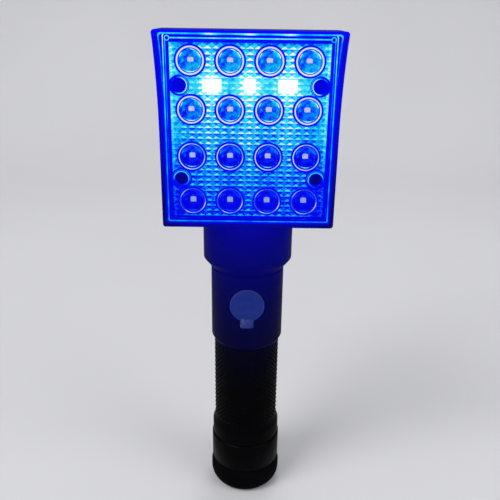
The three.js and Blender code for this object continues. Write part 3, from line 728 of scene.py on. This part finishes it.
def tab_material():
    """Grainy frosted window in painted blue light, with a painted highlight that makes it paler towards one
    edge and its top.
    """
    n = Nodes("pale_window")
    x, _, z = n.place()
    lean_x, lean_z = -0.06, 0.05
    # painted highlight: paler towards one edge and the top
    painted_light_slope = n.tilt(x, z, 0.45 - lean_z * WINDOW_MIDDLE, lean_x, lean_z)
    value = n.math("ADD", painted_light_slope, n.wander(900, 4, 0.7, 1.7))
    blues = [(0.1, (0.012, 0.022, 0.17)), (0.5, (0.034, 0.048, 0.21)), (0.95, (0.1, 0.12, 0.27))]
    n.bump(n.noise(700, 4), 0.2)
    return n.surface(n.ramp(value, blues), 0.5, 0.03)


# The lamps' light on each black part: its strength, the depth where it ends and the length of its fade

HEAD_GLOW = (1.0, FACE_Y + 9.0, 7.0)
NECK_GLOW = (1.0, 10.0, 29.0)
BODY_GLOW = (1.05, 16.0, 32.0)
GRIP_GLOW = (0.3, 14.0, 24.0)
BLACK = (0.002, 0.002, 0.004)
LENS_ROWS = len(LENS_PLACES) // LENS_ROW

M = {
    "head": plastic("black_head", BLACK, 0.5, shine=0.008, glow=HEAD_GLOW),
    "neck": plastic("black_neck", BLACK, 0.5, shine=0.008, glow=NECK_GLOW),
    "body": plastic("black_body", BLACK, 0.48, shine=0.01, glow=BODY_GLOW),
    "grip": plastic("black_anodised", (0.0012, 0.0012, 0.0016), 0.4, 1600, shine=0.018, glow=GRIP_GLOW),
    "black_rubber": plastic("black_rubber", (0.0016, 0.0016, 0.002), 0.7, 700, 0.3, shine=0.018),
    "cap": plastic("black_cap", (0.0014, 0.0014, 0.0018), 0.34, 1300, shine=0.02),
    "pale_silicone": button_material(),
    "pale_window": tab_material(),
    "prisms": prism_material(),
    "flat": field_material("lit_flat", 0.16, 0.0, 0.4),
    "bevel": field_material("lit_bevel", 0.06, 0.06, 0.3),
    "rim_line": edge_material("lit_rim_line", 0.62, 0.99, 0.66, 0.44, flare=0.12),
    "edge": edge_material("lit_edge", 0.1, 0.95, 0.94, 0.5, corners=True),
    "step": edge_material("lit_step", 0.74, 0.86, 0.62, 0.06),
    "lips": [lip_material(row) for row in range(LENS_ROWS)],
    "bowls": [bowl_material(row) for row in range(LENS_ROWS)],
    "surrounds": [surround_material(row) for row in range(LENS_ROWS)],
    "chips": [chip_material(row) for row in range(LENS_ROWS)],
    "chip": chip_material(LENS_ROWS - 1),
    "sleeves": [[sleeve_material(row, side) for side in (1, -1)] for row in range(SCREW_ROWS)],
    "screws": [screw_material(row) for row in range(SCREW_ROWS)],
    "dark_screw": plastic("black_screw", (0.01, 0.01, 0.012), 0.4, shine=0.4),
    "white_board": plastic("white_board", (0.6, 0.62, 0.66), 0.5),
    "green_board": plastic("green_board", (0.03, 0.16, 0.07), 0.45),
    "grey_plastic": plastic("grey_plastic", (0.1, 0.1, 0.11), 0.5),
    "plated_steel": metal("plated_steel", (0.62, 0.62, 0.64), 0.32),
    "nickel": metal("nickel", (0.72, 0.7, 0.68), 0.22),
    "brass": metal("brass", (0.72, 0.55, 0.25), 0.3),
    "cell_sleeve": plastic("cell_sleeve", (0.05, 0.22, 0.1), 0.35, coat=0.4),
}

SLOT_LOOKS = {"black_plastic": "head", "black_aluminium": "cap", "clear_cover": "flat", "white_lamp": "chip",
              "blue_lamp": "chip", "magnet_nickel": "nickel"}


def dress_frame():
    """Gives each node of the frame the look of its material slot, which mostly has the slot's name."""
    for row in frame["record"]["subparts"]:
        node = frame["nodes"][row["node"]]
        node.data.materials.clear()
        slot = row["material_slot"]
        node.data.materials.append(M[SLOT_LOOKS.get(slot, slot)])


def seat(piece, body, slot, *nodes):
    """Ties a piece to its body and hides the nodes that it stands in for. slot is not used."""
    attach(piece, body)
    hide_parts(*nodes)
    return piece


# The lamp head

COVER = ("light", "clear_cover", "lens_plate")


def head_shell():
    """The black box: a thin rim whose inner edge is lit, soft edges behind, and the wall inside the rim."""
    wall_back, wall_front, crown = 1.4, 1.9, 2.0
    # Depth behind the face, then distances from the outline at the sides, top and foot
    rim = [(1.3, 2.68, 1.68, 2.72), (1.0, 2.64, 1.64, 2.68), (0.8, 2.24, 1.14, 2.38), (0.1, 1.7, 1.08, 1.8),
           (0.0, 1.6, 1.0, 1.7)]
    # Depth behind the face and distance from the outline
    edge = [(0.0, 0.4), (0.12, 0.12), (0.4, 0.0)]
    stations = [(STEP_Y + wall_back, mouth_outline(0)), (FACE_Y + wall_front, mouth_outline(0))]
    stations += [(FACE_Y + depth, rim_outline(*distances)) for depth, *distances in rim]
    stations += [(FACE_Y + depth, head_outline(inset)) for depth, inset in edge]
    stations += [(BACK_Y - crown * (1 - math.sin(a)), head_outline(crown * (1 - math.cos(a))))
                 for a in quarter(8)]
    index = banded([0, 0, 1, 2, 1] + [0] * (len(stations) - 6), len(mouth_outline(0)), 2)
    piece = loft("head_shell", stations, looks=[M["head"], M["bevel"], M["rim_line"]], index=index)
    return seat(piece, "light", "black_plastic", "head_housing")


def neck_piece():
    """Round neck with its cone below."""
    bore, cone, gap, edge = 15.2, 4.3, 0.2, 0.15
    low, high = NECK_LOW[2], HEAD_BASE - gap
    profile = off(low, (bore, 0.0), (BODY_RADIUS - edge, 0.0), (BODY_RADIUS, edge),
                  (NECK_RADIUS - 0.12, cone - edge), (NECK_RADIUS, cone + 0.05))
    profile += off(high, (NECK_RADIUS, -0.25), (NECK_RADIUS - 0.25, 0.0), (bore, 0.0))
    return seat(lathe("neck", profile, loop=True, looks=[M["neck"]]), "light", "black_plastic",
                "neck_sleeve")


def fairing_piece():
    """Half a dome behind the head that carries the neck's round up into its back."""
    tip, rise, sunk = 3.0, 36.0, 1.2
    profile = [(tip + (NECK_RADIUS - tip) * math.cos(a), HEAD_BASE + rise * math.sin(a))
               for a in quarter(24)]
    piece = lathe("fairing", profile, looks=[M["head"]])
    for vertex in piece.data.vertices:
        vertex.co.y = max(vertex.co.y, (BACK_Y - sunk) * MM)
    return seat(piece, "light", "black_plastic", "head_housing")


def cover_slab():
    """Clear cover: a lit lip at its edge, a low step and a raised middle with a thin lit edge."""
    lip, step, raised, gap = FACE_Y + 1.4, STEP_Y - 0.6, PLATE_Y - 0.04, 0.02
    # Depth, then distances from the opening at the sides, top and foot
    levels = [(lip, 0.38, 0.44, 0.3), (step, 0.42, 0.5, 0.34), (step, 0.5, 0.9, 0.6),
              (PLATE_Y, 0.72, 1.3, 0.9), (raised, 0.76, 1.36, 0.95), (raised, 1.06, 1.8, 1.25),
              (PLATE_Y, 1.1, 1.86, 1.3)]
    stations = [(STEP_Y + 1.0, mouth_outline(gap)), (lip + 0.05, mouth_outline(gap)),
                (lip, mouth_outline(2 * gap))]
    stations += [(depth, line_outline(*distances)) for depth, *distances in levels]
    index = banded([0, 0, 1, 0, 0, 0, 0, 2, 0], len(mouth_outline(0)), 2)
    piece = loft("cover_slab", stations, looks=[M["flat"], M["edge"], M["step"]], index=index)
    screw_hole = 2.9
    holes = [(place, LENS_RING - LENS_LIP / 2) for place in LENS_PLACES]
    holes += [(place, screw_hole) for place in SCREW_PLACES]
    return seat(drilled(piece, holes), *COVER)


def prism_sheet():
    """Small four-sided prisms over the cover, drilled for the lenses and the screws."""
    columns, rows = PRISM_COLUMNS, PRISM_ROWS
    wide, high = PRISM_FIELD[0] / columns, PRISM_FIELD[1] / rows
    left, low = -columns * wide / 2, HEAD_MIDDLE - rows * high / 2
    top = low + rows * high
    proud, sunk, overlap = 0.01, 0.3, 0.3
    grid = [[j * (columns + 1) + i for i in range(columns + 1)] for j in range(rows + 1)]
    points = [(left + i * wide, PLATE_Y - proud, low + j * high)
              for j in range(rows + 1) for i in range(columns + 1)]
    faces = []
    for j in range(rows):
        for i in range(columns):
            around = [grid[j][i], grid[j][i + 1], grid[j + 1][i + 1], grid[j + 1][i]]
            faces += [(around[k], around[(k + 1) % 4], len(points)) for k in range(4)]
            points.append((left + (i + 0.5) * wide, PRISM_TIP, low + (j + 0.5) * high))
    rear = [len(points) + k for k in range(4)]
    points += [(x, PLATE_Y + sunk, z) for x, z in ((left, low), (-left, low), (-left, top), (left, top))]
    edges = [grid[0], [line[-1] for line in grid], grid[-1][::-1], [line[0] for line in grid][::-1]]
    faces += [tuple(edge) + (rear[(k + 1) % 4], rear[k]) for k, edge in enumerate(edges)] + [tuple(rear)]
    piece = mesh_object("prism_sheet", points, faces, smooth=False, looks=[M["prisms"]])
    holes = [(place, LENS_RING - LENS_LIP / 3) for place in LENS_PLACES]
    holes += [(place, SLEEVE_RADIUS[place[1] > HEAD_MIDDLE] - overlap) for place in SCREW_PLACES]
    return seat(sharpen(drilled(piece, holes), angle=5), *COVER)


def lens(number, place):
    """A round lens: dark shoulder, pale lip and a bowl that shows the chip behind."""
    row, steps = (number - 1) // LENS_ROW, 64
    lip, rise, edge, thick, foot = LENS_RING - LENS_LIP, 0.2, 0.12, 2.3, 0.3
    shoulder = off(PRISM_TIP, (SURROUND, PRISM_HEIGHT), (SURROUND, -0.02), (LENS_RING, -0.04),
                   (LENS_RING, -0.14))
    rim = off(PRISM_TIP, (LENS_RING - edge, -rise), (lip + edge, -rise), (lip, -edge), (lip - 0.04, -0.02))
    bowl = off(PRISM_TIP, (4.3, 0.0), (4.08, 0.04))
    bowl += off(PLATE_Y, (3.95, 0.0), (3.7, 0.7), (3.05, 1.5), (2.2, 2.05), (PIN, 2.1))
    profile = shoulder + rim + bowl + off(PLATE_Y, (PIN, thick), (SURROUND, foot))
    index = banded([0] * 3 + [1] * 3 + [2] * (len(profile) - 6), steps)
    piece = lathe(f"lens_{number}", profile, steps=steps, forward=(0, 0), loop=True, index=index,
                  looks=[M[part][row] for part in ("surrounds", "lips", "bowls")])
    piece.location = (place[0] * MM, 0, place[1] * MM)
    return seat(piece, *COVER)


def lamp_chip(number, place):
    """Small chip in its bowl, with rounder upper corners. Its foot is cut more from row to row upwards."""
    row = (number - 1) // LENS_ROW
    cut = (0.0, 0.22, 0.34, 0.5)[row]
    half, tall = 1.15, 1.08 - cut / 2
    x, z = place[0], place[1] + cut / 2
    front, depth, edge, shrink = PLATE_Y + 1.75, 0.7, 0.1, 0.94
    ring = block_outline((x - half, z - tall), (x + half, z + tall), 0.6, 0.2)
    layers = [(front + depth, 1.0), (front + edge, 1.0), (front, shrink)]
    piece = pad(f"chip_{number}", ring, (x, z), layers, looks=[M["chips"][row]])
    return seat(piece, "light", "white_lamp", f"white_led_{number}")


def cover_screw(number, place):
    """Dark sunk screw in a clear sleeve."""
    row = int(place[1] > HEAD_MIDDLE)
    reach, wide = (2.3, 2.6)[row], SLEEVE_RADIUS[row]
    mouth, throat, bore, back, rise = 3.2, 2.75, reach + 0.02, 1.2, 0.05
    profile = off(PRISM_TIP, (wide, PRISM_HEIGHT), (wide, rise), (wide - 0.2, -rise), (mouth, -rise),
                  (throat, 0.1)) + off(PLATE_Y, (bore, 0.1), (bore, back), (wide, back))
    sleeve = lathe(f"screw_sleeve_{number}", profile, steps=48, forward=(0, 0), loop=True,
                   looks=[M["sleeves"][row][place[0] > 0]])
    sleeve.location = (place[0] * MM, 0, place[1] * MM)
    seat(sleeve, *COVER)
    flat, crown, edge, foot = 1.25, 0.03, 0.15, 1.1
    profile = off(PLATE_Y, (reach, foot), (reach, edge), (reach - edge, 0.0), (flat, -crown), (PIN, -crown))
    head = lathe(f"screw_head_{number}", profile, steps=48, forward=place, looks=[M["screws"][row]])
    return seat(head, "light", "dark_screw", f"lens_screw_{number}")


def corner_pin(side):
    """Small round mark in an upper corner of the cover: a thin lit ring with a dark centre."""
    ring, hollow, inset, steps = 0.98, 0.68, 1.65, 32
    profile = off(PLATE_Y, (ring, 0.1), (ring, -0.2), (hollow, -0.24), (hollow - 0.04, -0.12), (PIN, -0.1))
    place = (side * (MOUTH_HALF - inset), MOUTH_HIGH - inset)
    pin = lathe(f"corner_pin_{'left' if side < 0 else 'right'}", profile, steps=steps, forward=place,
                looks=[M["flat"], M["step"]], index=banded([0, 1, 0, 0], steps, 2))
    return seat(pin, *COVER)


def build_head():
    head_shell()
    neck_piece()
    fairing_piece()
    cover_slab()
    prism_sheet()
    for number, place in enumerate(LENS_PLACES, 1):
        lens(number, place)
        lamp_chip(number, place)
    for number, place in enumerate(SCREW_PLACES, 1):
        cover_screw(number, place)
    for side in (-1, 1):
        corner_pin(side)


# The handle

BUTTON_BORE = 8.1
SLOT_BACK, BORE_BACK, BOSS_BACK = -11.0, -12.0, -13.0


def window_outline(grow=0.0):
    """The small upright window that reaches into the foot of the button, grown all round."""
    upper, lower = 0.35, 1.2
    low, high = (WINDOW_LOW[0] - grow, WINDOW_LOW[2] - grow), (WINDOW_HIGH[0] + grow, WINDOW_TOP + grow)
    return block_outline(low, high, upper, lower)


def slotted(piece):
    """Opens the slot that the window sits in."""
    gap = 0.12
    return carved(piece, [bar(window_outline(gap), FACE_Y, SLOT_BACK)])


def switch_barrel():
    """The round body, with the slot of its window and the bore that the button moves in."""
    low, top = BODY_LOW[2], NECK_LOW[2] - 0.3
    bore, chamfer, flare, edge = 12.9, 0.4, 2.4, 0.15
    profile = off(low, (bore, 0.2), (GRIP_RADIUS - 0.5, 0.1), (GRIP_RADIUS, 0.5), (BODY_RADIUS - edge, flare),
                  (BODY_RADIUS, flare + 0.35))
    profile += off(top, (BODY_RADIUS, -chamfer), (BODY_RADIUS - chamfer, 0.0), (bore, 0.0))
    piece = slotted(lathe("switch_barrel", profile, loop=True, looks=[M["body"]]))
    hole = bar(circle(0, BUTTON_LEVEL, BUTTON_BORE, 64), FACE_Y, BORE_BACK)
    return seat(carved(piece, [hole]), "light", "black_plastic", "switch_body")


def button_boss():
    """Round flat boss with a shallow ring groove for the button."""
    face = BODY_LOW[1]
    outer, inner, edge, groove = 9.5, 8.0, 0.3, 0.25
    profile = off(face, (outer, 0.35), (outer - edge, 0.0), (inner + edge, 0.0), (inner, groove))
    profile += off(BOSS_BACK, (inner - 0.05, 0.0), (outer, 0.0))
    piece = lathe("button_boss", profile, forward=(0, BUTTON_LEVEL), steps=96, loop=True,
                  looks=[M["body"]])
    return seat(slotted(piece), "light", "black_plastic", "switch_body")


def button_piece():
    """Push button with a slightly dished face."""
    face, radius = BUTTON_LOW[1], BUTTON_RADIUS
    depth, centre = 2.5, 0.4
    profile = off(face, (radius, depth), (radius, 0.14), (radius - 0.05, 0.04), (radius - 0.2, 0.0),
                  (5.0, 0.06), (2.5, 0.09), (centre, 0.1))
    piece = lathe("button_face", profile, forward=(0, BUTTON_LEVEL), steps=96, looks=[M["pale_silicone"]])
    return seat(slotted(piece), "button", "pale_silicone", "button_cap")


def window_piece():
    """Small window below the button, with soft edges."""
    face, depth, edge, shrink = WINDOW_LOW[1], 3.0, 0.1, 0.97
    layers = [(face + depth, 1.0), (face + edge, 1.0), (face, shrink)]
    piece = pad("window_face", window_outline(), (0, WINDOW_MIDDLE), layers, looks=[M["pale_window"]])
    return seat(piece, "light", "pale_window", "indicator_window")


def knurled_grip():
    """Diamond knurl: tips on every other point of the grid, and grooves along the diagonals. Below it are
    a plain collar and the socket of the tail."""
    columns, rows = 2 * 40, 2 * 18
    socket, socket_depth, collar, knurl_start = 13.7, 6.0, 6.6, 10.3
    foot, edge, centre = 0.1, 0.4, 0.5
    low, high = GRIP_LOW[2] + knurl_start, BODY_LOW[2] - 0.6
    valley = GRIP_RADIUS - KNURL_DEPTH
    levels = off(GRIP_LOW[2], (centre, socket_depth), (socket, socket_depth), (socket, foot + 0.3),
                 (socket + 0.3, foot), (COLLAR_RADIUS - 0.5, foot), (COLLAR_RADIUS, foot + edge),
                 (COLLAR_RADIUS, collar), (COLLAR_RADIUS - 0.12, collar + edge))
    levels += off(low, (valley + 0.05, -0.5), (valley, 0.0))
    plain = len(levels) - 1
    levels += off(low, *[(valley, (high - low) * (j + 1) / rows) for j in range(rows)])
    levels += off(high, (valley, 0.35), (valley - 0.3, 0.5))
    points, faces = [], []
    for r, (radius, level) in enumerate(levels):
        row = r - plain
        for i in range(columns):
            tip = 0 < row < rows and (i + row) % 2 == 0
            angle = 2 * math.pi * i / columns
            reach = GRIP_RADIUS if tip else radius
            points.append((reach * math.cos(angle), reach * math.sin(angle), level))
    for r in range(len(levels) - 1):
        row = r - plain
        for i in range(columns):
            j = (i + 1) % columns
            a, b, c, d = r * columns + i, r * columns + j, (r + 1) * columns + j, (r + 1) * columns + i
            if not 0 <= row < rows:
                faces.append((a, b, c, d))
            elif (i + row) % 2 == 0:
                faces += [(a, b, d), (b, c, d)]
            else:
                faces += [(a, b, c), (a, c, d)]
    faces += [tuple(range(r * columns, (r + 1) * columns)) for r in (0, len(levels) - 1)]
    piece = mesh_object("knurled_grip", points, faces, looks=[M["grip"]])
    return seat(sharpen(piece, angle=20), "light", "black_aluminium", "grip_tube")


def tail_cap_ring():
    """Plain cap, with a threaded spigot and a groove for the seal that show when it is unscrewed."""
    low, high, crown = CAP_LOW[2] + 6.1, GRIP_LOW[2] - 0.2, CAP_HIGH[2]
    radius, spigot, bore, root = CAP_HIGH[0], 13.4, 11.2, 12.85
    edge, soft, tip, land = 0.9, 0.15, 0.4, 0.5
    groove, room = spigot - 1.1, 0.15
    groove_low, groove_high = SEAL_LOW[2] - room, SEAL_HIGH[2] + room
    profile = off(low, (bore, 0.0), (radius - edge, 0.0), (radius - soft, 0.55), (radius, edge))
    profile += off(high, (radius, -edge), (radius - soft, -0.5), (radius - 0.8, 0.0), (spigot + 0.1, 0.0),
                   (spigot, 0.1))
    profile += [(spigot, groove_low), (groove, groove_low), (groove, groove_high), (spigot, groove_high)]
    turns, thread_shares = 3, (0.0, 0.3, 0.5, 0.8)
    pitch = (crown - land - SEAL_HIGH[2] - land) / turns
    for turn in range(turns):
        start = SEAL_HIGH[2] + land + turn * pitch
        profile += [(reach, start + pitch * share)
                    for reach, share in zip((spigot, root, root, spigot), thread_shares)]
    profile += off(crown, (spigot, -tip), (spigot - tip, 0.0), (bore, 0.0))
    piece = lathe("tail_cap_ring", profile, loop=True, looks=[M["cap"]])
    return seat(piece, "tail", "black_aluminium", "tail_cap")


def tail_base():
    """Rounded rubber bumper round the magnet."""
    radius, bore, seat_bore = span("tail_bumper")[1][0], 12.3, 13.5
    edge, rise, side_top, top, shelf = 4.6, 6.0, 9.0, 12.6, 6.5
    profile = [(bore, 0.0)]
    profile += [(radius - edge * (1 - math.sin(a)), rise * (1 - math.cos(a))) for a in quarter(16)]
    profile += [(radius, side_top), (radius - 0.1, side_top + 0.5), (16.2, top - 0.4), (15.7, top),
                (seat_bore, top), (bore, shelf)]
    piece = lathe("tail_base", profile, loop=True, looks=[M["black_rubber"]])
    return seat(piece, "tail", "black_rubber", "tail_bumper")


def magnet_face():
    """Steel cup and the magnet in it, level with the foot."""
    cup, inside, edge, height = 12.0, 10.5, 0.3, 6.0
    profile = [(inside, 1.0), (inside + 0.1, 0.15), (inside + 0.25, 0.0), (cup - edge, 0.0), (cup, edge),
               (cup, height), (inside, height)]
    pot = lathe("magnet_cup", profile, loop=True, looks=[M["plated_steel"]])
    seat(pot, "tail", "plated_steel", "magnet_pot")
    disc, thick, centre = 10.1, 4.5, 0.2
    profile = [(centre, 0.0), (disc - edge, 0.0), (disc, edge), (disc, thick), (centre, thick)]
    core = lathe("magnet_disc", profile, looks=[M["nickel"]])
    return seat(core, "tail", "magnet_nickel", "magnet")


def build_handle():
    switch_barrel()
    button_boss()
    button_piece()
    window_piece()
    knurled_grip()
    tail_cap_ring()
    tail_base()
    magnet_face()


# Camera, light and floor. Lights and floor are in metres, and the lights' power is in watts.

FOCAL = 43.2
SENSOR = 36.0
CAMERA_AT = (-0.6, -252.2, 223.8)
YAW, PITCH, ROLL = (math.radians(angle) for angle in (0.38, 21.47, 0.81))
CLIP_NEAR, CLIP_FAR = 0.01, 20
SKY, SKY_STRENGTH = (0.9, 0.93, 1.0), 0.45

# Name, place, aim, size and power
LIGHTS = (("key", (-0.9, -0.7, 1.3), (0, 0, 0.1), 0.9, 16),
          ("fill", (1.0, -0.6, 0.9), (0, 0, 0.1), 0.9, 6),
          ("back", (0.2, 0.9, 1.2), (0, 0, 0.12), 0.8, 6))


def set_camera():
    turned = Matrix.Rotation(-YAW, 4, "Z") @ Matrix.Rotation(math.pi / 2 - PITCH, 4, "X")
    data = bpy.data.cameras.new("camera")
    data.lens, data.sensor_width, data.clip_start, data.clip_end = FOCAL, SENSOR, CLIP_NEAR, CLIP_FAR
    camera = bpy.data.objects.new("camera", data)
    camera.matrix_world = Matrix.Translation(Vector(CAMERA_AT) * MM) @ turned @ Matrix.Rotation(ROLL, 4, "Z")
    bpy.context.collection.objects.link(camera)
    bpy.context.scene.camera = camera


def set_floor():
    """A pale floor that curves up into a backdrop."""
    width, front, back, height, bend = 3.0, -1.5, 0.6, 2.2, 0.4
    line = [(front, 0.0), (back, 0.0)]
    line += [(back + bend * math.sin(a), bend * (1 - math.cos(a))) for a in quarter(16, 1)]
    line.append((back + bend, height))
    points = [(side * width / MM, y / MM, z / MM) for y, z in line for side in (-1, 1)]
    faces = [(2 * i, 2 * i + 1, 2 * i + 3, 2 * i + 2) for i in range(len(line) - 1)]
    n = Nodes("pale_floor")
    look = n.surface(n.mottled(3, 3, (0.60, 0.595, 0.61), (0.63, 0.625, 0.64)), 0.8, 0.2)
    mesh_object("floor", points, faces, looks=[look])


def set_light():
    world = bpy.data.worlds.new("studio")
    world.use_nodes = True
    background = world.node_tree.nodes["Background"]
    background.inputs["Color"].default_value = (*SKY, 1)
    background.inputs["Strength"].default_value = SKY_STRENGTH
    bpy.context.scene.world = world
    for name, at, aim, size, watts in LIGHTS:
        data = bpy.data.lights.new(name, "AREA")
        data.shape, data.size, data.energy = "DISK", size, watts
        lamp = bpy.data.objects.new(name, data)
        lamp.location = at
        lamp.rotation_euler = (Vector(aim) - Vector(at)).to_track_quat("-Z", "Y").to_euler()
        bpy.context.collection.objects.link(lamp)


set_camera()
set_floor()
set_light()
dress_frame()
build_head()
build_handle()
bpy.context.scene.view_settings.view_transform = "Standard"
